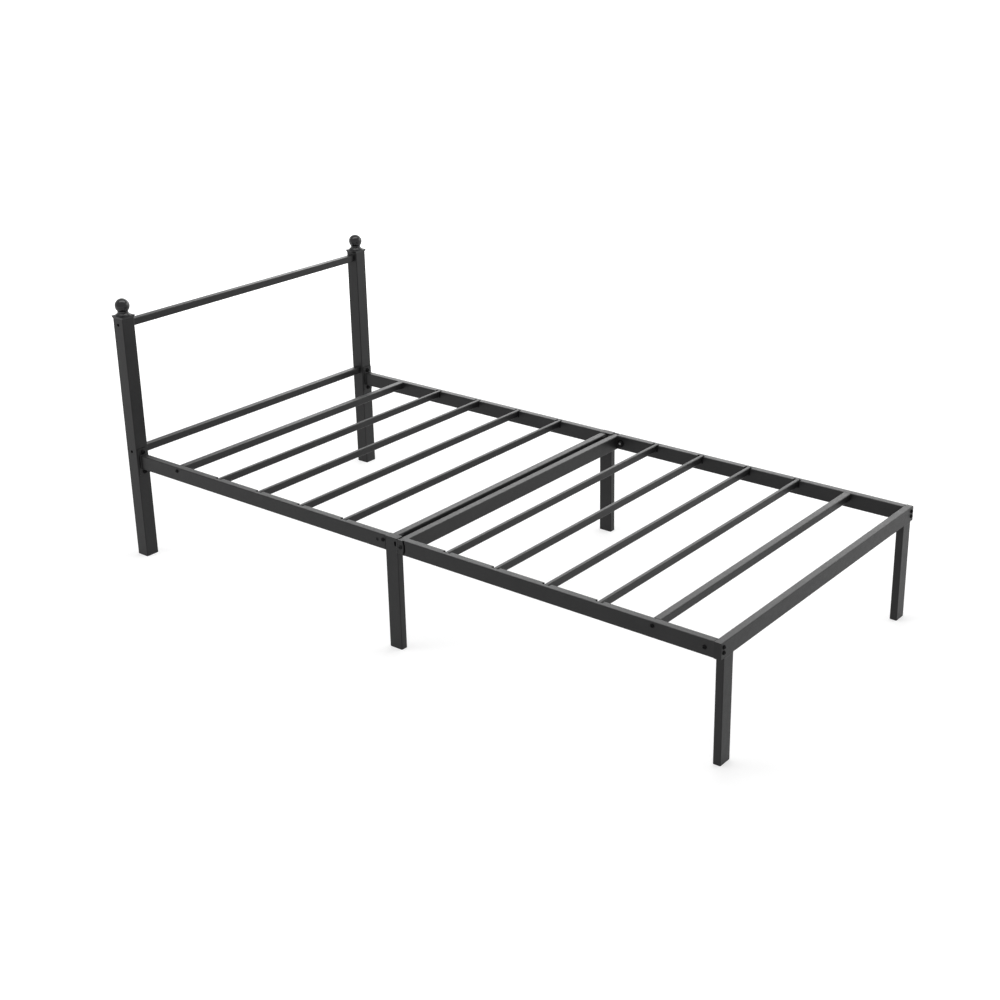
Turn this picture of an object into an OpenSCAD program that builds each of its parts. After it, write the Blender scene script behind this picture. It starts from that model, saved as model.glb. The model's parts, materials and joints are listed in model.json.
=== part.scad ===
// Single metal bed frame: square-tube headboard posts with ball finials, side
// rails in two sections, a pair of mid beams, slats, and a welded foot end.
// X runs from the headboard (-X) to the foot (+X), Y across the bed with the
// sleeper's left at +Y, Z up. The origin is on the floor under the middle.

/* [Overall] */
// Length over the post caps and the foot-end bolt heads
bed_length = 1930; // [1900:5:2050]
// Width over the post caps
bed_width = 950; // [900:5:1100]
// Height from the floor to the top of the ball finials
bed_height = 750; // [650:5:900]
// Height of the mattress support above the floor
deck_height = 304; // [260:1:350]

/* [Tubes] */
// Side of the square headboard posts
post_size = 40; // [36:1:42]
// Height of the rails and mid beams, and width of the flat legs
rail_height = 40; // [38:1:42]
// Width of the rails and side of the square bars
bar_size = 20; // [18:1:22]
// Thickness of the narrow slats
slat_thickness = 11; // [8:1:12]
// Height of the narrow slats
slat_height = 19; // [16:1:20]
// Wall of the posts, rails and legs
wall = 1.2; // [1:0.1:1.4]
// Outside corner radius of the tubes
corner_radius = 2.5; // [1.6:0.1:3]

/* [Layout] */
// Centre of the headboard's upper crossbar, below the top of the post
upper_bar_drop = 17.5; // [14:0.5:80]
// Centre of the headboard's lower crossbar, above the deck
lower_bar_rise = 10; // [10:1:60]
// Centre of the head wide slat, from the head end
head_slat_place = 197; // [150:1:230]
// Centre of the foot wide slat, from the foot end
foot_slat_place = 179; // [150:1:230]
// Centre of the mid legs, from the head end
mid_leg_place = 985; // [940:1:1020]
// How far the mid beams lie below the deck
beam_drop = 2; // [0:0.5:4]
// How far the foot legs stand in from the ends of the foot rail
leg_inset = 11; // [4:0.5:20]

/* [Finials] */
// Diameter of the ball
ball_d = 40; // [32:1:42]
// Diameter of the neck under the ball
neck_d = 29; // [20:0.5:30]
// Overhang of the square cap over the post
cap_overhang = 2; // [1.5:0.5:3]
// Diameter of the round collar on the cap
collar_d = 41; // [36:0.5:42]
// Height from the top of the post to the middle of the ball
ball_rise = 33; // [32:1:38]

/* [Fixings] */
// Thread diameter of the bolts at the headboard plates and the mid joint
big_bolt = 8; // [6:2:8]
// Thread diameter of the other bolts
small_bolt = 6; // [5:1:6]
// Play of a bolt in a plain hole, on the diameter
hole_play = 0.5; // [0.3:0.1:1]
// Thickness of the plates that hold the side rails to the posts
plate_thickness = 3; // [3:0.5:4]
// Height of those plates
plate_height = 78; // [76:1:84]

/* [Hidden] */

// Finishes
steel_colour = [0.10, 0.10, 0.105];
plastic_colour = [0.05, 0.05, 0.05];
fixing_colour = [0.08, 0.08, 0.085];
arc_steps = 24;
round_steps = 48;
cut_margin = 1;
least_corner = 0.4;

// Heights
foot_flange = 3;
foot_insert = 15;
post_top = bed_height - ball_d / 2 - ball_rise;
upper_bar_z = post_top - upper_bar_drop;
lower_bar_z = deck_height + lower_bar_rise;
rail_z = deck_height - rail_height / 2;
rail_bottom = deck_height - rail_height;
beam_z = rail_z - beam_drop;
wide_slat_z = deck_height - bar_size / 2;

// Lines across the bed, as distances from its middle
cap_size = post_size + 2 * cap_overhang;
line_y = bed_width / 2 - cap_size / 2;
post_inner_y = line_y - post_size / 2;
rail_outer_y = line_y + bar_size / 2;
rail_inner_y = line_y - bar_size / 2;

// Button heads, nuts and threads of the fixings
head_ratio = 1.75;
head_rise_ratio = 0.55;
head_rim_ratio = 0.35;
head_top_ratio = 0.62;
socket_ratio = 0.62;
socket_depth_ratio = 0.36;
nut_rise_ratio = 0.8;
corner_head_rise = small_bolt * head_rise_ratio;
bolt_tail = 1;
rivet_d = 4.8;
rivet_rise = 1.3;
rivet_upset = 2;
joint_head_d = 14;
joint_head_rise = 6;
joint_flange_d = 21;
joint_flange_rise = 1.6;

// Lines along the bed, measured from the head end
head_end = -bed_length / 2;
post_x = cap_size / 2;
post_face = post_x + post_size / 2;
rail_start = post_face + plate_thickness;
leg_head_face = mid_leg_place - rail_height / 2;
leg_foot_face = mid_leg_place + rail_height / 2;
head_beam_inset = 4;
head_beam_x = leg_head_face + head_beam_inset + bar_size / 2;
foot_beam_x = leg_foot_face + bar_size / 2;
ear_end = leg_foot_face + bar_size;
foot_face = bed_length - corner_head_rise;
foot_back = foot_face - bar_size;
foot_rail_x = foot_face - bar_size / 2;
head_slat_x = head_slat_place;
foot_slat_x = bed_length - foot_slat_place;
narrow_per_half = 4;
head_beam_face = head_beam_x - bar_size / 2;
head_pitch = (head_beam_face - head_slat_x) / (narrow_per_half + 1);
foot_pitch = (foot_slat_x - leg_foot_face) / (narrow_per_half + 1);
narrow_head_x = [for (i = [1:narrow_per_half]) head_slat_x + i * head_pitch];
narrow_foot_x = [for (i = [1:narrow_per_half]) leg_foot_face + i * foot_pitch];
narrow_x = concat(narrow_head_x, narrow_foot_x);

// Tongues: steel boxes that slide into the rails' open ends
tongue_wall = 2;
tongue_length = 40;
tongue_seat = wall + tongue_wall;
splice_bolt_reach = 7;
splice_bolt_rise = 6;
splice_rivet_reach = 27;
splice_rivet_rise = 2;
joint_bolt_reach = 14;
bracket_bolt_reach = 22;
splice_bolt_x = leg_head_face - splice_bolt_reach;
splice_bolt_z = rail_z + splice_bolt_rise;
splice_rivet_x = leg_head_face - splice_rivet_reach;
splice_rivet_z = rail_z + splice_rivet_rise;
joint_bolt_x = ear_end + joint_bolt_reach;
bracket_bolt_x = foot_back - bracket_bolt_reach;
ear_thickness = 4;
ear_inset = 1;
ear_height = rail_height - 2 * ear_inset;
ear_arc = 43;
joint_gap = 6;
joint_plate = 5;

// Corner bolts: a pair through the foot rail into each bracket's end plate
bracket_plate = 4;
corner_bolt_rise = 8.5;
corner_bolt_fall = 4.5;
corner_bolt_z = [rail_z + corner_bolt_rise, rail_z - corner_bolt_fall];

// Beam cleats: angles in the gap between the two mid beams
cleat_thickness = 2.5;
cleat_length = 20;
cleat_height = 30;
cleat_play = 0.5;
leg_bolt_rise = 5;
cleat_x = head_beam_x + bar_size / 2;
cleat_end = leg_foot_face - cleat_play;
leg_bolt_x = (cleat_x + cleat_thickness + cleat_end) / 2;
leg_bolt_z = rail_z + leg_bolt_rise;
leg_slot_height = 13;

// Foot legs, as distances from the middle of the bed
foot_leg_y = rail_outer_y - leg_inset - rail_height / 2;

// Notches and cradles of the narrow slats
notch_side = 5;
notch_width = slat_thickness + 2 * notch_side;
notch_depth = 10.5;
cradle_floor = 1;
cradle_back = 1;
cradle_recess = 6;
slat_wall = 1;
slat_bottom = deck_height - slat_height;
slat_half = rail_inner_y + notch_depth - cradle_back;

// Threaded blocks welded into the ends of the bars
block_length = 12;

// Heads of the crossbar bolts, inside the posts
inner_head_d = 8.5;
inner_head_rise = 5;

// Plugs and caps
plug_wall = 2;
top_plug_flange = 2;
top_plug_insert = 8;
rail_plug_insert = 4;
cap_taper = 5;
cap_flange = 6.8;
cap_clearance = 1;
cap_insert = upper_bar_drop - inner_head_d / 2 - cap_clearance;
collar_rise = 2;
collar_ease = 0.6;
groove_depth = 2;
groove_rise = 0.7;
dome_inset = 1.2;
dome_rise = 4.5;
dome_margin = 0.4;

// Headboard posts: tool holes opposite the crossbar bolts
access_hole = 9;

// Plates between the side rails and the posts
plate_width = 34;
plate_corner = 3;
plate_bolt_margin = 10;
plate_bolt_offset = plate_height / 2 - plate_bolt_margin;

// Place something along the bed, measured from the head end
module along(x) {
    translate([head_end + x, 0, 0]) children();
}

// Turn a shape that stands on Z to point along +X
module to_x() {
    rotate([0, 90, 0]) children();
}

// Turn a shape that stands on Z to point along +Y or -Y
module to_y(side = 1) {
    rotate([-90 * side, 0, 0]) children();
}

// Rectangle with rounded corners
module round_rect(a, b, r) {
    square([a - 2 * r, b], center = true);
    square([a, b - 2 * r], center = true);
    for (sx = [-1, 1], sy = [-1, 1])
        translate([sx * (a / 2 - r), sy * (b / 2 - r)])
            circle(r = r, $fn = arc_steps);
}

// Section of a tube of outer size a by b
module tube_section(a, b, t = wall, r = corner_radius) {
    difference() {
        round_rect(a, b, r);
        round_rect(a - 2 * t, b - 2 * t, r - t);
    }
}

// Upright tube: a along X, b along Y
module tube_z(a, b, length, t = wall) {
    linear_extrude(length) tube_section(a, b, t);
}

// Tube along +X: a across the bed, b high
module tube_x(a, b, length, t = wall) {
    to_x() linear_extrude(length) tube_section(b, a, t);
}

// Tube centred across the bed: a along the bed, b high
module tube_y(a, b, length, t = wall) {
    rotate([90, 0, 0])
        linear_extrude(length, center = true) tube_section(a, b, t);
}

// Snug filling of a tube of outer size a by b, standing on Z
module tube_filling(a, b, length, t = wall) {
    linear_extrude(length)
        round_rect(a - 2 * t, b - 2 * t, max(corner_radius - t, least_corner));
}

// Plain round cutter on Z, centred, for a hole of diameter d
module drill(d, length) {
    cylinder(h = length, d = d, center = true, $fn = round_steps);
}

// Button-head bolt: the head's seat is at z = 0 and the thread points down
module bolt(d, length, head_d = 0, head_rise = 0) {
    hd = head_d > 0 ? head_d : d * head_ratio;
    hr = head_rise > 0 ? head_rise : d * head_rise_ratio;
    rim = hr * head_rim_ratio;
    difference() {
        union() {
            translate([0, 0, -length]) cylinder(h = length, d = d, $fn = round_steps);
            cylinder(h = rim, d = hd, $fn = round_steps);
            translate([0, 0, rim])
                cylinder(h = hr - rim, d1 = hd, d2 = hd * head_top_ratio, $fn = round_steps);
        }
        translate([0, 0, hr - d * socket_depth_ratio])
            cylinder(h = hr, d = d * socket_ratio, $fn = 6);
    }
}

// Width across the flats of a nut for thread d
function nut_across(d) = d < 6 ? 8 : d < 8 ? 10 : 13;

// Hexagon nut standing on z = 0
module nut(d) {
    across = nut_across(d);
    difference() {
        cylinder(h = d * nut_rise_ratio, d = across / cos(30), $fn = 6);
        cylinder(h = 3 * d, d = d, center = true, $fn = round_steps);
    }
}

// Headboard post, side = 1 left, -1 right
module post(side) {
    color(steel_colour) along(post_x) translate([0, side * line_y, 0])
        difference() {
            translate([0, 0, foot_flange])
                tube_z(post_size, post_size, post_top - foot_flange);
            for (z = [lower_bar_z, upper_bar_z]) {
                translate([0, side * post_size / 2, z])
                    to_y() drill(access_hole, 4 * wall);
                translate([0, -side * post_size / 2, z])
                    to_y() drill(small_bolt + hole_play, 4 * wall);
            }
            for (s = [-1, 1])
                translate([post_size / 2, 0, rail_z + s * plate_bolt_offset])
                    to_x() drill(big_bolt + hole_play, 4 * wall);
        }
}

// Outline of the cap's flange from the side: tapered up to its full width
module flange_profile() {
    foot = post_size / 2;
    tip = cap_size / 2;
    polygon([[-foot, 0], [foot, 0], [tip, cap_taper], [tip, cap_flange],
             [-tip, cap_flange], [-tip, cap_taper]]);
}

// Square flange that flares out from the top of the post
module flange() {
    intersection() {
        rotate([90, 0, 0])
            linear_extrude(cap_size + cut_margin, center = true) flange_profile();
        rotate([90, 0, 90])
            linear_extrude(cap_size + cut_margin, center = true) flange_profile();
    }
}

// Upright disc with its top edge eased
module collar_disc() {
    straight = collar_rise - collar_ease;
    cylinder(h = straight, d = collar_d, $fn = 2 * round_steps);
    translate([0, 0, straight])
        cylinder(h = collar_ease, d1 = collar_d, d2 = collar_d - 2 * collar_ease,
                 $fn = 2 * round_steps);
}

// Dome over the disc: its sphere passes through both of the dome's edges
module collar_dome() {
    low_r = collar_d / 2 - dome_inset;
    high_r = neck_d / 2 + dome_margin;
    drop = ((low_r * low_r - high_r * high_r) / dome_rise - dome_rise) / 2;
    dome_r = sqrt(low_r * low_r + drop * drop);
    intersection() {
        cylinder(h = dome_rise, r = low_r, $fn = 2 * round_steps);
        translate([0, 0, -drop]) sphere(r = dome_r, $fn = 2 * round_steps);
    }
}

// Round collar: the disc, a narrow groove and the dome
module collar() {
    collar_disc();
    translate([0, 0, collar_rise])
        cylinder(h = groove_rise, d = collar_d - 2 * groove_depth, $fn = 2 * round_steps);
    translate([0, 0, collar_rise + groove_rise]) collar_dome();
}

// Moulded cap with its flange, collar, neck and ball
module finial(side) {
    ball_z = post_top + ball_rise;
    collar_z = post_top + cap_flange;
    color(plastic_colour) along(post_x) translate([0, side * line_y, 0]) {
        difference() {
            union() {
                translate([0, 0, post_top - cap_insert])
                    tube_filling(post_size, post_size, cap_insert);
                translate([0, 0, post_top]) flange();
                translate([0, 0, collar_z]) collar();
                translate([0, 0, collar_z])
                    cylinder(h = ball_z - collar_z, d = neck_d, $fn = round_steps);
                translate([0, 0, ball_z]) sphere(d = ball_d, $fn = 2 * round_steps);
            }
            translate([0, 0, post_top - cap_insert - cut_margin])
                linear_extrude(cap_insert + cut_margin)
                    square(post_size - 2 * wall - 2 * plug_wall, center = true);
        }
    }
}

// Headboard crossbar with a threaded block welded in each end
module crossbar(z) {
    color(steel_colour) along(post_x) translate([0, 0, z]) {
        tube_y(bar_size, bar_size, 2 * post_inner_y);
        for (side = [-1, 1])
            end_block(bar_size, bar_size, post_inner_y, side, small_bolt);
    }
}

// Threaded block flush with the end, at distance y_end, of a bar across the bed
module end_block(a, b, y_end, side, thread) {
    translate([0, side * y_end, 0]) to_y(-side)
        difference() {
            tube_filling(a, b, block_length);
            drill(thread, 3 * block_length);
        }
}

// Plate welded on the head end of a side rail
module rail_plate(side) {
    color(steel_colour) along(post_face) translate([0, side * line_y, rail_z]) to_x()
        difference() {
            linear_extrude(plate_thickness) round_rect(plate_height, plate_width, plate_corner);
            for (s = [-1, 1])
                translate([s * plate_bolt_offset, 0, 0])
                    drill(big_bolt + hole_play, 4 * plate_thickness);
        }
}

// Notch in a rail's top inner edge for the end of a narrow slat at x
module slat_notch(x, side) {
    inner = side > 0 ? rail_inner_y - cut_margin : -rail_inner_y - notch_depth;
    along(x - notch_width / 2)
        translate([0, inner, slat_bottom - cradle_floor])
            cube([notch_width, notch_depth + cut_margin, slat_height + 2 * cradle_floor]);
}

// Hole right through a side rail
module rail_hole(x, z, d, side) {
    along(x) translate([0, side * line_y, z]) to_y() drill(d, 2 * bar_size);
}

// Hole through the outer wall only, or with face = -1 the inner wall only
module rail_wall_hole(x, z, d, side, face = 1) {
    along(x) translate([0, side * (line_y + face * bar_size / 2), z])
        to_y() drill(d, bar_size / 2);
}

// Side rail from the headboard to the mid leg
module head_rail(side) {
    color(steel_colour) difference() {
        along(rail_start) translate([0, side * line_y, rail_z])
            tube_x(bar_size, rail_height, leg_head_face - rail_start);
        for (x = narrow_head_x) slat_notch(x, side);
        rail_hole(head_slat_x, wide_slat_z, small_bolt + hole_play, side);
        rail_wall_hole(splice_bolt_x, splice_bolt_z, small_bolt + hole_play, side);
        rail_wall_hole(splice_rivet_x, splice_rivet_z, rivet_d, side);
    }
}

// Side rail from the mid joint to the foot rail. Its outer wall is cut back on
// an arc that runs round the end of the leg's ear.
module foot_side_rail(side) {
    color(steel_colour) difference() {
        along(ear_end) translate([0, side * line_y, rail_z])
            tube_x(bar_size, rail_height, foot_back - ear_end);
        along(ear_end - ear_arc) translate([0, side * rail_outer_y, rail_z])
            to_y() cylinder(h = 2 * ear_thickness, r = ear_arc + joint_gap,
                            center = true, $fn = 4 * round_steps);
        for (x = narrow_foot_x) slat_notch(x, side);
        rail_hole(foot_slat_x, wide_slat_z, small_bolt + hole_play, side);
        rail_wall_hole(joint_bolt_x, rail_z, big_bolt + hole_play, side, -1);
        rail_wall_hole(bracket_bolt_x, rail_z, small_bolt + hole_play, side);
    }
}

// Mid leg: a flat tube whose broad face is in the side of the bed. The cleat's
// bolt goes in through a slot in the outer wall and holds on the inner wall.
module mid_leg(side) {
    color(steel_colour) difference() {
        along(mid_leg_place) translate([0, side * line_y, foot_flange])
            tube_z(rail_height, bar_size, deck_height - top_plug_flange - foot_flange);
        rail_wall_hole(leg_bolt_x, leg_bolt_z, small_bolt + hole_play, side, -1);
        for (s = [-1, 1])
            rail_wall_hole(leg_bolt_x, leg_bolt_z + s * (leg_slot_height - small_bolt) / 2,
                           small_bolt, side);
        along(leg_bolt_x) translate([0, side * rail_outer_y, leg_bolt_z])
            cube([small_bolt, bar_size / 2, leg_slot_height - small_bolt], center = true);
    }
}

// Ear welded on the leg, over the end of the foot mid beam: its free end is
// an arc, and the foot side rail stands off it by an even gap
module leg_ear(side) {
    reach = ear_end - leg_foot_face;
    color(steel_colour) along(leg_foot_face)
        translate([0, side * (rail_outer_y - ear_thickness / 2), rail_z])
            rotate([90, 0, 0]) difference() {
                linear_extrude(ear_thickness, center = true) intersection() {
                    translate([0, -ear_height / 2]) square([reach, ear_height]);
                    translate([reach - ear_arc, 0])
                        circle(r = ear_arc, $fn = 4 * round_steps);
                }
                translate([bar_size / 2, 0, 0])
                    drill(small_bolt + hole_play, 4 * ear_thickness);
            }
}

// Steel box that fits inside a rail, from x for the given length
module tongue(x, length, side) {
    along(x) translate([0, side * line_y, rail_z]) to_x()
        difference() {
            tube_filling(rail_height, bar_size, length);
            translate([0, 0, -cut_margin])
                linear_extrude(length + 2 * cut_margin)
                    square([rail_height - 2 * tongue_seat, bar_size - 2 * tongue_seat],
                           center = true);
        }
}

// Tongue welded on the leg, inside the head rail
module splice_tongue(side) {
    color(steel_colour) difference() {
        tongue(leg_head_face - tongue_length, tongue_length, side);
        rail_wall_hole(splice_bolt_x, splice_bolt_z, small_bolt + hole_play, side);
        rail_wall_hole(splice_rivet_x, splice_rivet_z, rivet_d, side);
    }
}

// Flat tongue welded on the foot mid beam, against the inside of the foot side
// rail's inner wall
module joint_tongue(side) {
    seat = rail_inner_y + wall;
    color(steel_colour) difference() {
        along(ear_end + tongue_length / 2)
            translate([0, side * (seat + joint_plate / 2), rail_z])
                cube([tongue_length, joint_plate, rail_height - 2 * corner_radius],
                     center = true);
        along(joint_bolt_x) translate([0, side * seat, rail_z])
            to_y() drill(big_bolt + hole_play, 3 * joint_plate);
    }
}

// Bracket inside the foot end of a side rail, closed by a threaded end plate
module corner_bracket(side) {
    color(steel_colour) difference() {
        union() {
            tongue(foot_back - tongue_length, tongue_length, side);
            along(foot_back - bracket_plate) translate([0, side * line_y, rail_z])
                to_x() tube_filling(rail_height, bar_size, bracket_plate);
        }
        rail_wall_hole(bracket_bolt_x, rail_z, small_bolt + hole_play, side);
        for (z = corner_bolt_z)
            along(foot_back) translate([0, side * line_y, z])
                to_x() drill(small_bolt, 4 * bracket_plate);
    }
}

// Mid beam of the head half, between the legs' inner faces
module mid_beam_head() {
    color(steel_colour) along(head_beam_x) translate([0, 0, beam_z])
        tube_y(bar_size, rail_height, 2 * rail_inner_y);
}

// Mid beam of the foot half, from ear to ear with a threaded block in each end
module mid_beam_foot() {
    half = rail_outer_y - ear_thickness;
    color(steel_colour) along(foot_beam_x) translate([0, 0, beam_z]) {
        tube_y(bar_size, rail_height, 2 * half);
        for (side = [-1, 1]) translate([0, side * half, 0]) to_y(-side)
            difference() {
                tube_filling(bar_size, rail_height, block_length);
                translate([0, side * beam_drop, 0]) drill(small_bolt, 3 * block_length);
            }
    }
}

// Angles that hold the head mid beam to the legs
module beam_cleats() {
    color(steel_colour) for (side = [-1, 1]) difference() {
        along(cleat_x) translate([0, side * (rail_inner_y - cleat_length / 2), rail_z])
            union() {
                translate([cleat_thickness / 2, 0, 0])
                    cube([cleat_thickness, cleat_length, cleat_height], center = true);
                translate([(cleat_end - cleat_x) / 2,
                           side * (cleat_length - cleat_thickness) / 2, 0])
                    cube([cleat_end - cleat_x, cleat_thickness, cleat_height], center = true);
            }
        along(leg_bolt_x) translate([0, side * rail_inner_y, leg_bolt_z])
            to_y() drill(small_bolt + hole_play, 4 * cleat_thickness);
    }
}

// Rail across the foot end, on top of the foot legs
module foot_rail() {
    color(steel_colour) difference() {
        along(foot_rail_x) translate([0, 0, rail_z])
            tube_y(bar_size, rail_height, 2 * (rail_outer_y - top_plug_flange));
        for (side = [-1, 1], z = corner_bolt_z)
            along(foot_rail_x) translate([0, side * line_y, z])
                to_x() drill(small_bolt + hole_play, 2 * bar_size);
    }
}

// Foot leg: a flat tube whose broad face looks out of the foot end
module foot_leg(side) {
    color(steel_colour) along(foot_rail_x)
        translate([0, side * foot_leg_y, foot_flange])
            tube_z(bar_size, rail_height, rail_bottom - foot_flange);
}

// Square slat with a threaded block in each end
module wide_slat(x) {
    color(steel_colour) along(x) translate([0, 0, wide_slat_z]) {
        tube_y(bar_size, bar_size, 2 * rail_inner_y);
        for (side = [-1, 1])
            end_block(bar_size, bar_size, rail_inner_y, side, small_bolt);
    }
}

// Narrow slat number i, standing on edge in its two cradles
module narrow_slat(i) {
    color(steel_colour) along(narrow_x[i - 1])
        translate([0, 0, slat_bottom + slat_height / 2])
            tube_y(slat_thickness, slat_height, 2 * slat_half, slat_wall);
}

// Moulded cradles in the rails' notches
module slat_cradles() {
    cradle_rise = slat_height + cradle_floor - cradle_recess;
    color(plastic_colour) for (x = narrow_x, side = [-1, 1])
        along(x) translate([0, side * rail_inner_y, slat_bottom - cradle_floor])
            scale_y(side) difference() {
                translate([-notch_width / 2, 0, 0])
                    cube([notch_width, notch_depth, cradle_rise]);
                translate([-slat_thickness / 2, -cut_margin, cradle_floor])
                    cube([slat_thickness, notch_depth - cradle_back + cut_margin,
                          cradle_rise]);
            }
}

// Mirror across the bed when side is -1
module scale_y(side) {
    if (side > 0) children();
    else mirror([0, 1, 0]) children();
}

// Bolt whose head is on the outward side, at x, distance y and height z
module side_bolt(x, y, z, side, d, length) {
    along(x) translate([0, side * y, z]) to_y(side) bolt(d, length);
}

module crossbar_bolts() {
    seat_y = post_inner_y + wall;
    color(fixing_colour) for (side = [-1, 1], z = [lower_bar_z, upper_bar_z])
        along(post_x) translate([0, side * seat_y, z]) to_y(side)
            bolt(small_bolt, wall + block_length, inner_head_d, inner_head_rise);
}

module plate_bolts() {
    length = grip(plate_thickness + wall, big_bolt);
    color(fixing_colour) for (side = [-1, 1], s = [-1, 1])
        along(rail_start)
            translate([0, side * line_y, rail_z + s * plate_bolt_offset])
                to_x() bolt(big_bolt, length);
}

module plate_nuts() {
    color(fixing_colour) for (side = [-1, 1], s = [-1, 1])
        along(post_face - wall)
            translate([0, side * line_y, rail_z + s * plate_bolt_offset])
                rotate([0, -90, 0]) nut(big_bolt);
}

module slat_bolts() {
    color(fixing_colour) for (side = [-1, 1], x = [head_slat_x, foot_slat_x])
        side_bolt(x, rail_outer_y, wide_slat_z, side, small_bolt,
                  bar_size + block_length);
}

module ear_bolts() {
    color(fixing_colour) for (side = [-1, 1])
        side_bolt(foot_beam_x, rail_outer_y, rail_z, side, small_bolt,
                  ear_thickness + block_length);
}

module leg_bolts() {
    length = grip(wall + cleat_thickness, small_bolt);
    color(fixing_colour) for (side = [-1, 1])
        side_bolt(leg_bolt_x, rail_inner_y + wall, leg_bolt_z, side, small_bolt, length);
}

module leg_nuts() {
    color(fixing_colour) for (side = [-1, 1])
        along(leg_bolt_x)
            translate([0, side * (rail_inner_y - cleat_thickness), leg_bolt_z])
                to_y(-side) nut(small_bolt);
}

// Length of a bolt that goes through a stack and its nut
function grip(stack, d) = stack + d * nut_rise_ratio + bolt_tail;

// Bolts through the rails' outer walls into the tongues' nuts
module tongue_bolts() {
    length = grip(tongue_seat, small_bolt);
    color(fixing_colour) for (side = [-1, 1]) {
        side_bolt(splice_bolt_x, rail_outer_y, splice_bolt_z, side, small_bolt, length);
        side_bolt(bracket_bolt_x, rail_outer_y, rail_z, side, small_bolt, length);
    }
}

// Nuts welded on the tongues, behind every tongue bolt and joint bolt
module tongue_nuts() {
    seat = rail_outer_y - tongue_seat;
    color(fixing_colour) for (side = [-1, 1]) {
        along(splice_bolt_x) translate([0, side * seat, splice_bolt_z])
            to_y(-side) nut(small_bolt);
        along(bracket_bolt_x) translate([0, side * seat, rail_z])
            to_y(-side) nut(small_bolt);
        along(joint_bolt_x)
            translate([0, side * (rail_inner_y + wall + joint_plate), rail_z])
                to_y(side) nut(big_bolt);
    }
}

// Flanged bolts on the rails' inner faces at the middle joint
module joint_bolts() {
    color(fixing_colour) for (side = [-1, 1])
        along(joint_bolt_x) translate([0, side * rail_inner_y, rail_z]) to_y(-side) {
            bolt(big_bolt, grip(wall + joint_plate, big_bolt), joint_head_d,
                 joint_head_rise);
            difference() {
                cylinder(h = joint_flange_rise, d = joint_flange_d, $fn = round_steps);
                drill(joint_head_d - 1, 3 * joint_flange_rise);
            }
        }
}

// Rivets that hold the head rail on its tongue
module splice_rivets() {
    color(fixing_colour) for (side = [-1, 1])
        along(splice_rivet_x)
            translate([0, side * rail_outer_y, splice_rivet_z]) to_y(side) {
                cylinder(h = rivet_rise, d1 = 2 * rivet_d, d2 = 1.2 * rivet_d,
                         $fn = round_steps);
                translate([0, 0, -tongue_seat])
                    cylinder(h = tongue_seat, d = rivet_d, $fn = round_steps);
                translate([0, 0, -tongue_seat - rivet_upset])
                    cylinder(h = rivet_upset, d = 1.4 * rivet_d, $fn = round_steps);
            }
}

module corner_bolts() {
    color(fixing_colour) for (side = [-1, 1], z = corner_bolt_z)
        along(foot_face) translate([0, side * line_y, z])
            to_x() bolt(small_bolt, bar_size + bracket_plate + bolt_tail);
}

// Moulded foot under a tube of outer size a by b
module tube_foot(a, b) {
    color(plastic_colour) difference() {
        union() {
            linear_extrude(foot_flange) round_rect(a, b, corner_radius);
            translate([0, 0, foot_flange]) tube_filling(a, b, foot_insert);
        }
        translate([0, 0, foot_flange])
            linear_extrude(foot_insert + cut_margin)
                square([a - 2 * (wall + plug_wall), b - 2 * (wall + plug_wall)],
                       center = true);
    }
}

module post_foot(side) {
    along(post_x) translate([0, side * line_y, 0]) tube_foot(post_size, post_size);
}

module mid_foot(side) {
    along(mid_leg_place) translate([0, side * line_y, 0])
        tube_foot(rail_height, bar_size);
}

module end_foot(side) {
    along(foot_rail_x) translate([0, side * foot_leg_y, 0])
        tube_foot(bar_size, rail_height);
}

// Flat plugs in the tops of the mid legs
module leg_top_plugs() {
    color(plastic_colour) for (side = [-1, 1])
        along(mid_leg_place)
            translate([0, side * line_y, deck_height - top_plug_flange]) {
                linear_extrude(top_plug_flange)
                    round_rect(rail_height, bar_size, corner_radius);
                translate([0, 0, -top_plug_insert])
                    tube_filling(rail_height, bar_size, top_plug_insert);
            }
}

// Flat plugs in the ends of the foot rail
module rail_end_plugs() {
    color(plastic_colour) for (side = [-1, 1])
        along(foot_rail_x)
            translate([0, side * (rail_outer_y - top_plug_flange), rail_z])
                to_y(side) {
                    linear_extrude(top_plug_flange)
                        round_rect(bar_size, rail_height, corner_radius);
                    translate([0, 0, -rail_plug_insert])
                        tube_filling(bar_size, rail_height, rail_plug_insert);
                }
}

post(1);  // post_left
post(-1);  // post_right
finial(1);  // finial_left
finial(-1);  // finial_right
crossbar(upper_bar_z);  // upper_crossbar
crossbar(lower_bar_z);  // lower_crossbar
crossbar_bolts();
rail_plate(1);  // rail_plate_left
rail_plate(-1);  // rail_plate_right
plate_bolts();
plate_nuts();
head_rail(1);  // head_rail_left
head_rail(-1);  // head_rail_right
foot_side_rail(1);  // foot_side_rail_left
foot_side_rail(-1);  // foot_side_rail_right
mid_leg(1);  // mid_leg_left
mid_leg(-1);  // mid_leg_right
leg_ear(1);  // leg_ear_left
leg_ear(-1);  // leg_ear_right
splice_tongue(1);  // splice_tongue_left
splice_tongue(-1);  // splice_tongue_right
joint_tongue(1);  // joint_tongue_left
joint_tongue(-1);  // joint_tongue_right
mid_beam_head();
mid_beam_foot();
beam_cleats();
foot_rail();
foot_leg(1);  // foot_leg_left
foot_leg(-1);  // foot_leg_right
corner_bracket(1);  // corner_bracket_left
corner_bracket(-1);  // corner_bracket_right
wide_slat(head_slat_x);  // wide_slat_head
wide_slat(foot_slat_x);  // wide_slat_foot
narrow_slat(1);  // narrow_slat_1
narrow_slat(2);  // narrow_slat_2
narrow_slat(3);  // narrow_slat_3
narrow_slat(4);  // narrow_slat_4
narrow_slat(5);  // narrow_slat_5
narrow_slat(6);  // narrow_slat_6
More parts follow.
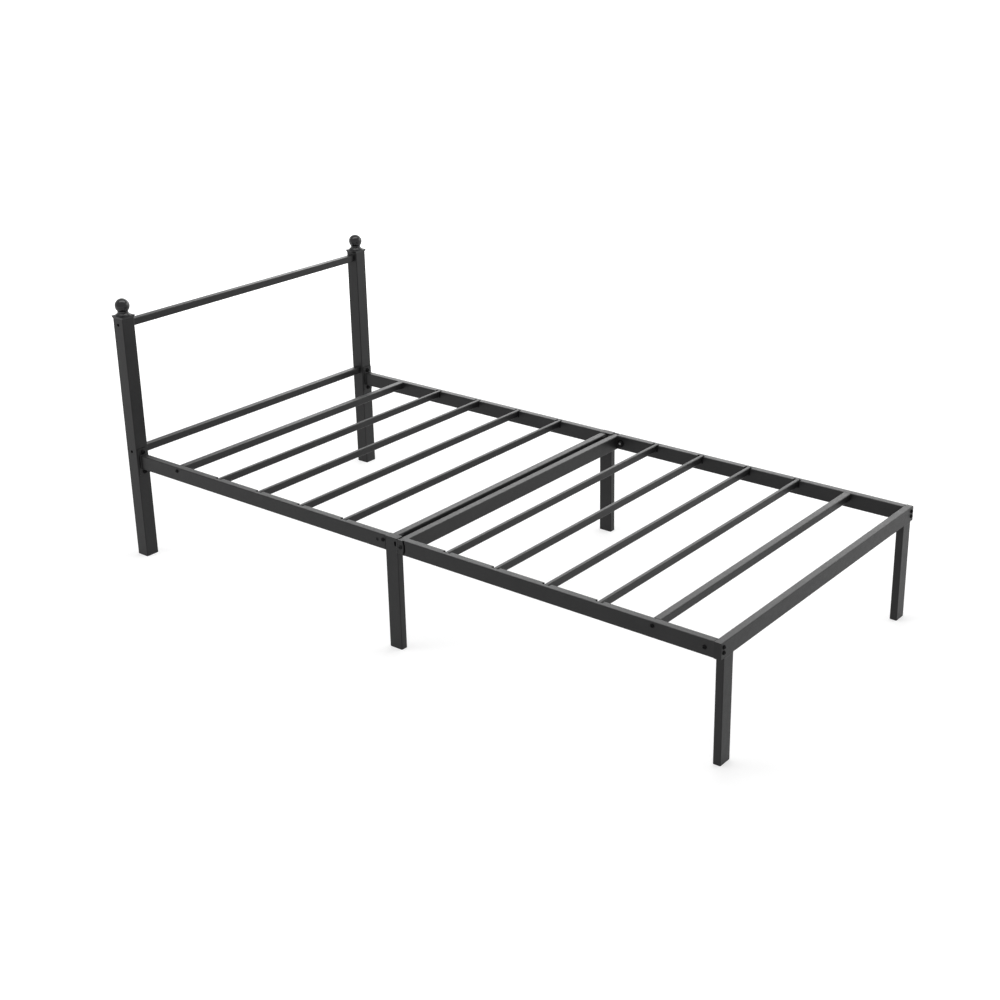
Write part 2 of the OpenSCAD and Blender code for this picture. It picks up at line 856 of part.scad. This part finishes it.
narrow_slat(7);  // narrow_slat_7
narrow_slat(8);  // narrow_slat_8
slat_cradles();
slat_bolts();
ear_bolts();
leg_bolts();
leg_nuts();
tongue_bolts();
tongue_nuts();
joint_bolts();
splice_rivets();
corner_bolts();
post_foot(1);  // post_foot_left
post_foot(-1);  // post_foot_right
mid_foot(1);  // mid_foot_left
mid_foot(-1);  // mid_foot_right
end_foot(1);  // end_foot_left
end_foot(-1);  // end_foot_right
leg_top_plugs();
rail_end_plugs();
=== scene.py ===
# Looks of the single metal bed frame: satin black powder coat on steel tube,
# moulded black finials and plugs, blackened fixings, weld beads, a pale studio.
# Metres, X from the headboard (-X) to the foot (+X), Y across, Z up.
import json
import math

import bmesh
import bpy
from mathutils import Matrix, Vector


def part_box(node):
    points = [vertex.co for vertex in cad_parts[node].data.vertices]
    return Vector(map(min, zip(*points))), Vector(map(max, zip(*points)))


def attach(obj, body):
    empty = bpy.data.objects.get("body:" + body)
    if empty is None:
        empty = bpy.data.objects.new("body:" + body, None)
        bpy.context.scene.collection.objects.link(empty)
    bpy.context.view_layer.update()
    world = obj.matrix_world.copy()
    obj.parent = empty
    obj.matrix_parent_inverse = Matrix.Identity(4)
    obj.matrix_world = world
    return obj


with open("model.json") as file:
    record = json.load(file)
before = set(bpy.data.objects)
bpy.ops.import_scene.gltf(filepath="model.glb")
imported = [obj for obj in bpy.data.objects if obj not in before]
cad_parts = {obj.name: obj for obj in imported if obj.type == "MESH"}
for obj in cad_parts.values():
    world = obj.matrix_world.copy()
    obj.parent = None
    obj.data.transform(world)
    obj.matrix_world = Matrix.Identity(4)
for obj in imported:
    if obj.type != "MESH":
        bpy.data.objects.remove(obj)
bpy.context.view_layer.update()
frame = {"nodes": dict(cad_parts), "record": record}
scene = bpy.context.scene
MM = 0.001
X = Vector((1, 0, 0))
Y = Vector((0, 1, 0))
Z = Vector((0, 0, 1))

# Sizes of the frame: the tubes' rounded edges, a cleat along its beam, and a
# finial from its neck to its top
TUBE_CORNER = 2.5 * MM
CLEAT_LENGTH = 20 * MM
BALL_HEIGHT = 39 * MM

# Span of the values in which a noise mostly stays
NOISE_LOW = 0.3
NOISE_HIGH = 0.7

# Cosine of the angle by which a rounded normal turns: on a flat, and on an edge
EDGE_FLAT = 0.995
EDGE_TURNED = 0.80
BEVEL_SAMPLES = 4

# Weld beads: from scale to scale, from ring to ring of the mesh, the length in
# which an end fades out and what is left of it, and the edges in a quarter circle
WELD_PITCH = 1.7 * MM
WELD_STEP = 0.45 * MM
WELD_TAPER = 1.6 * MM
WELD_TIP = 0.1
WELD_ARC = 5

# Legs of the fillet welds
PLATE_FILLET = 1.7 * MM
LEG_FILLET = 2.4 * MM
CLEAT_FILLET = 2.0 * MM

# Weld in the groove between a mid leg and its ear: from the ear's edge to the
# middle of the groove, from the ear's ends, and its width, rise and depth
EAR_GROOVE = 0.6 * MM
EAR_INSET = 1.5 * MM
EAR_WIDTH = 4.2 * MM
EAR_RISE = 0.5 * MM
EAR_SINK = 1.6 * MM

# Section (up, out) of a seam that fills the groove under a tube's rounded edge
SEAM = [(up * MM, out * MM) for up, out in (
    (-0.8, -0.05), (-0.7, 0.02), (0.2, 0.10), (1.4, 0.12), (2.6, 0.10), (3.1, 0.02),
    (3.2, -0.05), (2.7, -0.3), (1.2, -0.8), (0.3, -1.6), (-0.3, -1.6), (-0.6, -0.3))]

# World and floor. The floor's lift goes from near to far between two radii.
WORLD_LIGHT = 0.35
WHITE = 1.0
FLOOR_HALF = 30.0
FLOOR_DROP = 0.2 * MM
FLOOR_PAPER = 0.55
FLOOR_LIFT_NEAR = 0.53
FLOOR_LIFT_FAR = 0.95
FLOOR_RADIUS_NEAR = 1.1
FLOOR_RADIUS_FAR = 4.0

# Side panels: azimuth in degrees, watts, and whether gloss reflects the panel
PANELS = ((62, 75.0, True), (121, 86.0, True), (232, 30.0, False), (308, 36.0, False))
PANEL_RADIUS = 4.2
PANEL_HEIGHT = 1.9
PANEL_SIZE = (4.2, 2.6)
PANEL_TARGET = (0.0, 0.0, 0.3)

OVERHEAD_PLACE = (-0.5, -0.2, 3.4)
OVERHEAD_SIZE = (4.0, 1.2)
OVERHEAD_POWER = 68.0
OVERHEAD_TURN = math.radians(50.0)

CAMERA_PLACE = (2.50288, -3.07238, 1.89290)
CAMERA_YAW = 2.22938
CAMERA_PITCH = -0.36423
CAMERA_ROLL = -0.01160
CAMERA_LENS = 57.683
CAMERA_SENSOR = 36.0
CAMERA_SHIFT_X = -0.040
CAMERA_SHIFT_Y = -0.050
CAMERA_CLIP_START = 0.05
CAMERA_CLIP_END = 100.0


# ---------------------------------------------------------------- materials

class Nodes:
    """Short hand for building one material's node tree."""

    def __init__(self, name):
        self.mat = bpy.data.materials.new(name)
        self.mat.use_nodes = True
        self.tree = self.mat.node_tree
        self.tree.nodes.clear()
        self.out = self.tree.nodes.new("ShaderNodeOutputMaterial")
        self.where = self.tree.nodes.new("ShaderNodeTexCoord").outputs["Object"]

    def new(self, kind, **settings):
        node = self.tree.nodes.new(kind)
        for key, value in settings.items():
            setattr(node, key, value)
        return node

    def link(self, a, b):
        self.tree.links.new(a, b)

    def height(self):
        node = self.new("ShaderNodeSeparateXYZ")
        self.link(self.where, node.inputs[0])
        return node.outputs["Z"]

    def length(self, vector):
        node = self.new("ShaderNodeVectorMath", operation="LENGTH")
        self.link(vector, node.inputs[0])
        return node.outputs["Value"]

    def distance(self, centre, axes):
        """Distance from centre, counted along the given axes only."""
        offset = self.new("ShaderNodeVectorMath", operation="SUBTRACT")
        self.link(self.where, offset.inputs[0])
        offset.inputs[1].default_value = centre
        kept = self.new("ShaderNodeVectorMath", operation="MULTIPLY")
        self.link(offset.outputs["Vector"], kept.inputs[0])
        kept.inputs[1].default_value = axes
        return self.length(kept.outputs["Vector"])

    def noise(self, scale, detail, roughness=0.5, distortion=0.0):
        node = self.new("ShaderNodeTexNoise")
        node.inputs["Scale"].default_value = scale
        node.inputs["Detail"].default_value = detail
        node.inputs["Roughness"].default_value = roughness
        node.inputs["Distortion"].default_value = distortion
        self.link(self.where, node.inputs["Vector"])
        return node.outputs["Fac"]

    def pebbles(self, scale):
        node = self.new("ShaderNodeTexVoronoi", feature="SMOOTH_F1")
        node.inputs["Scale"].default_value = scale
        self.link(self.where, node.inputs["Vector"])
        return node.outputs["Distance"]

    def remap(self, value, low, high, to_low, to_high, smooth=False):
        node = self.new("ShaderNodeMapRange")
        if smooth:
            node.interpolation_type = "SMOOTHSTEP"
        for name, number in (("From Min", low), ("From Max", high),
                             ("To Min", to_low), ("To Max", to_high)):
            node.inputs[name].default_value = number
        self.link(value, node.inputs["Value"])
        return node.outputs["Result"]

    def spread(self, noise, to_low, to_high):
        """A noise stretched over its usual span."""
        return self.remap(noise, NOISE_LOW, NOISE_HIGH, to_low, to_high)

    def math(self, operation, a, b, clamp=False):
        node = self.new("ShaderNodeMath", operation=operation, use_clamp=clamp)
        for socket, value in zip(node.inputs, (a, b)):
            if isinstance(value, float):
                socket.default_value = value
            else:
                self.link(value, socket)
        return node.outputs[0]

    def mix(self, factor, a, b):
        node = self.new("ShaderNodeMix", data_type="RGBA")
        self.link(factor, node.inputs["Factor"])
        for name, value in (("A", a), ("B", b)):
            socket = [s for s in node.inputs if s.name == name and s.type == "RGBA"][0]
            if isinstance(value, tuple):
                socket.default_value = value + (1.0,)
            else:
                self.link(value, socket)
        return [s for s in node.outputs if s.type == "RGBA"][0]

    def clouds(self, noise, dark, light):
        """Two colours in clouds."""
        return self.mix(self.spread(noise, 0.0, 1.0), dark, light)

    def bump(self, height, distance, strength, before=None):
        node = self.new("ShaderNodeBump")
        node.inputs["Strength"].default_value = strength
        node.inputs["Distance"].default_value = distance
        self.link(height, node.inputs["Height"])
        if before is not None:
            self.link(before, node.inputs["Normal"])
        return node.outputs["Normal"]

    def edges(self, radius):
        """1 on the edges of the mesh, 0 on its flats: how far a rounded normal turns."""
        bevel = self.new("ShaderNodeBevel", samples=BEVEL_SAMPLES)
        bevel.inputs["Radius"].default_value = radius
        geometry = self.new("ShaderNodeNewGeometry")
        dot = self.new("ShaderNodeVectorMath", operation="DOT_PRODUCT")
        self.link(bevel.outputs["Normal"], dot.inputs[0])
        self.link(geometry.outputs["Normal"], dot.inputs[1])
        return self.remap(dot.outputs["Value"], EDGE_FLAT, EDGE_TURNED, 0.0, 1.0)

    def surface(self, colour, roughness, normal, **plain):
        shader = self.new("ShaderNodeBsdfPrincipled")
        self.link(colour, shader.inputs["Base Color"])
        self.link(roughness, shader.inputs["Roughness"])
        self.link(normal, shader.inputs["Normal"])
        for key, value in plain.items():
            shader.inputs[key.replace("_", " ")].default_value = value
        self.link(shader.outputs[0], self.out.inputs["Surface"])
        return self.mat


def powder_coat(name, specular):
    """Orange peel with paler grains in it, and edges rubbed lighter and smoother."""
    dark = (0.0085, 0.0086, 0.0089)
    light = (0.0135, 0.0135, 0.0138)
    pale_grain = (0.024, 0.024, 0.025)
    wear_and_painted_highlight = (0.058, 0.057, 0.057)
    n = Nodes(name)
    peel = n.noise(900, detail=2.5, roughness=0.55)
    grain = n.noise(3200, detail=1.0)
    cloud = n.noise(14, detail=4.0, roughness=0.6)
    drift = n.noise(90, detail=3.0, roughness=0.6)
    rub = n.noise(55, detail=6.0, roughness=0.7, distortion=0.6)
    edge = n.math("MULTIPLY", n.edges(1.2 * MM), n.remap(rub, 0.42, 0.62, 0.0, 1.0),
                  clamp=True)
    body = n.clouds(cloud, dark, light)
    body = n.mix(n.remap(grain, 0.60, 0.72, 0.0, 0.5), body, pale_grain)
    body = n.mix(n.math("MULTIPLY", edge, 0.75), body, wear_and_painted_highlight)
    rough = n.math("ADD", n.spread(drift, 0.385, 0.445), n.spread(cloud, -0.015, 0.015))
    rough = n.math("SUBTRACT", rough, n.math("MULTIPLY", edge, 0.07))
    normal = n.bump(peel, distance=0.16 * MM, strength=0.6)
    normal = n.bump(grain, distance=0.04 * MM, strength=0.6, before=normal)
    return n.surface(body, rough, normal, Specular_IOR_Level=specular)


def gloss_plastic(ball_foot):
    """Polished on the balls, duller on the collars below the height ball_foot."""
    dark = (0.0040, 0.0040, 0.0044)
    light = (0.0060, 0.0060, 0.0064)
    worn = (0.022, 0.022, 0.023)
    n = Nodes("gloss_black_plastic")
    cloud = n.noise(40, detail=3.0, roughness=0.6)
    flow = n.noise(260, detail=2.0)
    scuff = n.noise(240, detail=8.0, roughness=0.75, distortion=1.2)
    edge = n.edges(0.6 * MM)
    body = n.clouds(cloud, dark, light)
    body = n.mix(n.math("MULTIPLY", edge, 0.3), body, worn)
    rough = n.math("ADD", n.spread(cloud, 0.15, 0.19), n.remap(scuff, 0.58, 0.74, 0.0, 0.10))
    collar = n.remap(n.height(), ball_foot - 4 * MM, ball_foot, 0.26, 0.0)
    rough = n.math("ADD", rough, collar)
    normal = n.bump(flow, distance=0.008 * MM, strength=0.3)
    return n.surface(body, rough, normal, Specular_IOR_Level=0.36)


def matte_plastic(name, specular):
    """Pebbled and lightly scuffed."""
    dark = (0.0060, 0.0060, 0.0065)
    light = (0.0095, 0.0095, 0.0098)
    scuffed = (0.022, 0.022, 0.021)
    worn = (0.026, 0.026, 0.026)
    n = Nodes(name)
    pebble = n.pebbles(1500)
    cloud = n.noise(45, detail=3.0, roughness=0.6)
    scuff = n.noise(160, detail=8.0, roughness=0.75, distortion=0.9)
    edge = n.edges(0.6 * MM)
    body = n.clouds(cloud, dark, light)
    body = n.mix(n.remap(scuff, 0.62, 0.76, 0.0, 0.4), body, scuffed)
    body = n.mix(n.math("MULTIPLY", edge, 0.35), body, worn)
    rough = n.spread(cloud, 0.40, 0.50)
    normal = n.bump(pebble, distance=0.04 * MM, strength=0.4)
    return n.surface(body, rough, normal, Specular_IOR_Level=specular)


def black_oxide(name, wear_and_painted_highlight=None):
    """Blackened steel, with a painted highlight on the crown of the heads round the given
    centre.
    """
    dark = (0.0045, 0.0045, 0.0050)
    light = (0.0085, 0.0083, 0.0086)
    worn = (0.06, 0.06, 0.062)
    bright = (0.62, 0.62, 0.63)
    n = Nodes(name)
    cloud = n.noise(260, detail=4.0, roughness=0.6)
    grain = n.noise(2600, detail=2.0)
    rub = n.noise(500, detail=6.0, roughness=0.7)
    edge = n.math("MULTIPLY", n.edges(0.2 * MM), n.remap(rub, 0.5, 0.7, 0.0, 0.5), clamp=True)
    body = n.clouds(cloud, dark, light)
    body = n.mix(edge, body, worn)
    # Painted highlight: a bright patch on the crown of the heads, round the given centre and
    # broken up by the wear noise, stands in for the lamps' reflection on the domed heads
    if wear_and_painted_highlight:
        radius = n.distance(wear_and_painted_highlight, (1.0, 0.0, 1.0))
        crown = n.remap(radius, 1.5 * MM, 4.0 * MM, 1.0, 0.0)
        crown = n.math("MULTIPLY", crown, n.remap(rub, 0.3, 0.6, 0.55, 1.0))
        body = n.mix(crown, body, bright)
    rough = n.spread(cloud, 0.42, 0.55)
    normal = n.bump(grain, distance=0.02 * MM, strength=0.4)
    return n.surface(body, rough, normal, Specular_IOR_Level=0.05)


def zinc():
    """Plated steel, between blue and yellow, with brighter edges."""
    blue = (0.46, 0.47, 0.48)
    yellow = (0.58, 0.57, 0.52)
    bright = (0.72, 0.72, 0.72)
    n = Nodes("zinc_plated_steel")
    cloud = n.noise(320, detail=5.0, roughness=0.65)
    streak = n.noise(1400, detail=2.0)
    tint = n.noise(120, detail=2.0)
    edge = n.edges(0.3 * MM)
    body = n.mix(n.remap(tint, 0.35, 0.65, 0.0, 1.0), blue, yellow)
    body = n.mix(n.math("MULTIPLY", edge, 0.6), body, bright)
    rough = n.spread(cloud, 0.26, 0.44)
    normal = n.bump(streak, distance=0.02 * MM, strength=0.4)
    return n.surface(body, rough, normal, Metallic=1.0)


PAINT = powder_coat("satin_powder_coat", 0.25)
THIN_COAT = powder_coat("thin_powder_coat", 0.08)

FINISH = {"frame_paint": PAINT,
          "finial_plastic": gloss_plastic(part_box("finial_left")[1][2] - BALL_HEIGHT),
          "plug_plastic": matte_plastic("matte_black_plastic", 0.25),
          "black_fixing": black_oxide("black_oxide_steel"),
          "zinc_steel": zinc()}

# Nodes with a finish of their own: bolts with a painted highlight on their crowns, fixings
# painted thinly with the frame, and cradles of dull plastic deep in their notches
low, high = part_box("joint_bolts")
OWN_FINISH = {"joint_bolts": black_oxide("oxide_steel_painted_highlight",
                                         (Vector(low) + Vector(high)) / 2),
              "ear_bolts": THIN_COAT,
              "splice_rivets": THIN_COAT,
              "slat_cradles": matte_plastic("dull_black_plastic", 0.05)}

SLOT = {row["node"]: row["material_slot"] for row in frame["record"]["subparts"]}

for name, obj in frame["nodes"].items():
    for material_slot in obj.material_slots:
        material_slot.material = OWN_FINISH.get(name, FINISH[SLOT[name]])


# ---------------------------------------------------------------- welds

def corners(node):
    low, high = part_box(node)
    return Vector(low), Vector(high)


def ripple(s):
    """Scales of a weld at distance s along it, with a slow drift of the hand."""
    scale = (s / WELD_PITCH) % 1.0
    drift = 0.05 * math.sin(s / (2.4 * MM)) + 0.05 * math.sin(s / (5.8 * MM) + 1.3)
    return 0.88 + 0.20 * math.sin(math.pi * scale) + drift


def fillet(leg):
    """Section of a hollow weld in a corner, with the corner at its origin."""
    arc = [0.5 * math.pi * i / WELD_ARC for i in range(WELD_ARC + 1)]
    reach = [leg * (1.0 - 0.16 * math.sin(2.0 * t)) for t in arc]
    return [(0.0, 0.0)] + [(r * math.cos(t), r * math.sin(t)) for r, t in zip(reach, arc)]


def crown(width, rise, sink):
    """Section of a weld that fills a groove and stands a little proud of it."""
    arc = [math.pi * i / (2 * WELD_ARC) for i in range(2 * WELD_ARC + 1)]
    return ([(0.5 * width * math.cos(t), rise * math.sin(t)) for t in arc]
            + [(-0.4 * width, -sink), (0.4 * width, -sink)])


def straight(start, end, u, v):
    """Stations of a straight weld from start to end, with its section in u and v."""
    count = max(4, round((end - start).length / WELD_STEP))
    return [(start.lerp(end, i / count), u, v) for i in range(count + 1)]


def rounded_loop(half_a, half_b, radius):
    """Points and outward normals round a rectangle with rounded corners."""
    rows = []
    for turn in range(4):
        angle = turn * math.pi / 2
        across, along = (half_a, half_b) if turn % 2 == 0 else (half_b, half_a)
        out = Vector((math.cos(angle), math.sin(angle)))
        side = Vector((-math.sin(angle), math.cos(angle)))
        run = along - radius
        count = max(1, round(2 * run / WELD_STEP))
        for i in range(count):
            rows.append((out * across + side * (2 * run * i / count - run), out))
        count = max(2, round(radius * math.pi / 2 / WELD_STEP))
        for i in range(count):
            a = angle + math.pi / 2 * i / count
            normal = Vector((math.cos(a), math.sin(a)))
            rows.append((out * (across - radius) + side * run + normal * radius, normal))
    return rows


def places_along(stations):
    """Distance of each station from the first."""
    places = [0.0]
    for (p, _, _), (q, _, _) in zip(stations, stations[1:]):
        places.append(places[-1] + (q - p).length)
    return places


def bead_size(place, length, closed, dressed):
    """Size of a bead's section: scaled and tapered as a weld is, or ground even."""
    size = 1.0 if dressed else ripple(place)
    if not closed:
        end = min(place, length - place) / WELD_TAPER
        roundness = math.sqrt(1.0 - (1.0 - min(end, 1.0)) ** 2)
        size *= roundness * (1.0 - WELD_TIP) + WELD_TIP
    return size


def skin(b, rings, closed):
    """Faces from ring to ring, joined end to end or capped."""
    pairs = list(zip(rings, rings[1:]))
    if closed:
        pairs.append((rings[-1], rings[0]))
    for first, second in pairs:
        for i in range(len(first)):
            j = (i + 1) % len(first)
            b.faces.new((first[i], first[j], second[j], second[i]))
    if not closed:
        b.faces.new(rings[0])
        b.faces.new(rings[-1])
    bmesh.ops.recalc_face_normals(b, faces=b.faces)
    for face in b.faces:
        face.smooth = True


def weld(name, stations, section, closed=False, dressed=False):
    """Piece along the stations (point, u, v), with its section in u and v."""
    b = bmesh.new()
    rings = []
    places = places_along(stations)
    for place, (point, u, v) in zip(places, stations):
        size = bead_size(place, places[-1], closed, dressed)
        rings.append([b.verts.new(point + u * (a * size) + v * (c * size))
                      for a, c in section])
    skin(b, rings, closed)
    mesh = bpy.data.meshes.new(name)
    b.to_mesh(mesh)
    b.free()
    mesh.materials.append(PAINT)
    piece = bpy.data.objects.new(name, mesh)
    scene.collection.objects.link(piece)
    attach(piece, "root")


def plate_weld(name):
    """Round the head end of a side rail, on its plate."""
    low, high = corners("head_rail_" + name)
    centre = (low + high) / 2
    half = (high - low) / 2
    stations = [(Vector((low.x, centre.y + p.x, centre.z + p.y)), X, Vector((0, n.x, n.y)))
                for p, n in rounded_loop(half.y, half.z, TUBE_CORNER)]
    weld("weld_plate_" + name, stations, fillet(PLATE_FILLET), closed=True)


def foot_leg_welds(name):
    """Under the foot rail: beads on the two narrow faces of a foot leg, and on its
    broad faces seams ground flush with the rail."""
    low, high = corners("foot_leg_" + name)
    for end, x, out in (("head", low.x, -X), ("foot", high.x, X)):
        start = Vector((x, low.y + 0.5 * TUBE_CORNER, high.z))
        stop = Vector((x, high.y - 0.5 * TUBE_CORNER, high.z))
        weld("seam_foot_leg_%s_%s" % (name, end), straight(start, stop, Z, out), SEAM,
             dressed=True)
    for end, y, out in (("a", low.y, -Y), ("b", high.y, Y)):
        start = Vector((low.x + TUBE_CORNER, y, high.z))
        stop = Vector((high.x - TUBE_CORNER, y, high.z))
        weld("weld_foot_leg_%s_%s" % (name, end), straight(start, stop, out, -Z),
             fillet(LEG_FILLET))


def ear_weld(side, name):
    """In the groove between a mid leg and its ear."""
    low, high = corners("leg_ear_" + name)
    x = low.x - EAR_GROOVE
    y = high.y if side > 0 else low.y
    start = Vector((x, y, low.z + EAR_INSET))
    stop = Vector((x, y, high.z - EAR_INSET))
    weld("weld_ear_" + name, straight(start, stop, X, Y * side),
         crown(EAR_WIDTH, EAR_RISE, EAR_SINK))


def cleat_weld(side, name):
    """Down the inner edge of a cleat, on the head mid beam."""
    low, high = corners("beam_cleats")
    y = high.y - CLEAT_LENGTH if side > 0 else low.y + CLEAT_LENGTH
    start = Vector((low.x, y, low.z + MM))
    stop = Vector((low.x, y, high.z - MM))
    weld("weld_cleat_" + name, straight(start, stop, -Y * side, X), fillet(CLEAT_FILLET))


for side, name in ((1, "left"), (-1, "right")):
    plate_weld(name)
    foot_leg_welds(name)
    ear_weld(side, name)
    cleat_weld(side, name)


# ---------------------------------------------------------------- studio

def seen_rays(tree):
    """1 for the rays that show a surface, also in gloss or glass, and 0 for light."""
    path = tree.nodes.new("ShaderNodeLightPath")
    value = path.outputs["Is Camera Ray"]
    for other in ("Is Glossy Ray", "Is Transmission Ray"):
        either = tree.nodes.new("ShaderNodeMath")
        either.operation = "MAXIMUM"
        tree.links.new(value, either.inputs[0])
        tree.links.new(path.outputs[other], either.inputs[1])
        value = either.outputs[0]
    return value


def make_world():
    """White where it is seen, and dimmer as a light."""
    world = bpy.data.worlds.new("studio")
    scene.world = world
    world.use_nodes = True
    tree = world.node_tree
    tree.nodes.clear()
    mix = tree.nodes.new("ShaderNodeMixShader")
    tree.links.new(seen_rays(tree), mix.inputs[0])
    for socket, strength in ((mix.inputs[1], WORLD_LIGHT), (mix.inputs[2], WHITE)):
        sky = tree.nodes.new("ShaderNodeBackground")
        sky.inputs["Color"].default_value = (1.0, 1.0, 1.0, 1.0)
        sky.inputs["Strength"].default_value = strength
        tree.links.new(sky.outputs[0], socket)
    out = tree.nodes.new("ShaderNodeOutputWorld")
    tree.links.new(mix.outputs[0], out.inputs["Surface"])


def floor_material():
    """Pale paper that takes shadows, lifted to white for what is seen of it. The
    lift grows away from the bed, where the lamps no longer reach."""
    n = Nodes("floor")
    paper = n.new("ShaderNodeBsdfDiffuse")
    paper.inputs["Color"].default_value = (FLOOR_PAPER, FLOOR_PAPER, FLOOR_PAPER, 1.0)
    lift = n.remap(n.length(n.where), FLOOR_RADIUS_NEAR, FLOOR_RADIUS_FAR,
                   FLOOR_LIFT_NEAR, FLOOR_LIFT_FAR, smooth=True)
    shine = n.new("ShaderNodeEmission")
    n.link(n.math("MULTIPLY", lift, seen_rays(n.tree)), shine.inputs["Strength"])
    both = n.new("ShaderNodeAddShader")
    n.link(paper.outputs[0], both.inputs[0])
    n.link(shine.outputs[0], both.inputs[1])
    n.link(both.outputs[0], n.out.inputs["Surface"])
    return n.mat


def make_floor():
    mesh = bpy.data.meshes.new("floor")
    b = bmesh.new()
    bmesh.ops.create_grid(b, x_segments=2, y_segments=2, size=FLOOR_HALF)
    b.to_mesh(mesh)
    b.free()
    mesh.materials.append(floor_material())
    floor = bpy.data.objects.new("floor", mesh)
    scene.collection.objects.link(floor)
    floor.location.z = -FLOOR_DROP


def area_light(name, place, turn, size, power):
    data = bpy.data.lights.new(name, "AREA")
    data.shape = "RECTANGLE"
    data.size, data.size_y = size
    data.energy = power
    light = bpy.data.objects.new(name, data)
    light.location = place
    light.rotation_euler = turn
    light.visible_camera = False
    scene.collection.objects.link(light)
    return light


def make_lights():
    """A strip over the bed, and panels round it that face its middle."""
    area_light("overhead", OVERHEAD_PLACE, (0.0, 0.0, OVERHEAD_TURN), OVERHEAD_SIZE,
               OVERHEAD_POWER)
    for azimuth, power, in_gloss in PANELS:
        a = math.radians(azimuth)
        place = Vector((PANEL_RADIUS * math.cos(a), PANEL_RADIUS * math.sin(a), PANEL_HEIGHT))
        turn = (Vector(PANEL_TARGET) - place).to_track_quat("-Z", "Y").to_euler()
        panel = area_light("panel_%d" % azimuth, place, turn, PANEL_SIZE, power)
        panel.visible_glossy = in_gloss


def make_camera():
    forward = Vector((math.cos(CAMERA_PITCH) * math.cos(CAMERA_YAW),
                      math.cos(CAMERA_PITCH) * math.sin(CAMERA_YAW),
                      math.sin(CAMERA_PITCH)))
    level = forward.cross(Z).normalized()
    upright = level.cross(forward)
    right = math.cos(CAMERA_ROLL) * level + math.sin(CAMERA_ROLL) * upright
    up = -math.sin(CAMERA_ROLL) * level + math.cos(CAMERA_ROLL) * upright
    data = bpy.data.cameras.new("camera")
    data.lens = CAMERA_LENS
    data.sensor_width = CAMERA_SENSOR
    data.shift_x = CAMERA_SHIFT_X
    data.shift_y = CAMERA_SHIFT_Y
    data.clip_start = CAMERA_CLIP_START
    data.clip_end = CAMERA_CLIP_END
    camera = bpy.data.objects.new("camera", data)
    turn = Matrix((right, up, -forward)).transposed().to_4x4()
    camera.matrix_world = Matrix.Translation(CAMERA_PLACE) @ turn
    scene.collection.objects.link(camera)
    scene.camera = camera


make_world()
make_floor()
make_camera()
make_lights()
scene.view_settings.view_transform = "Standard"
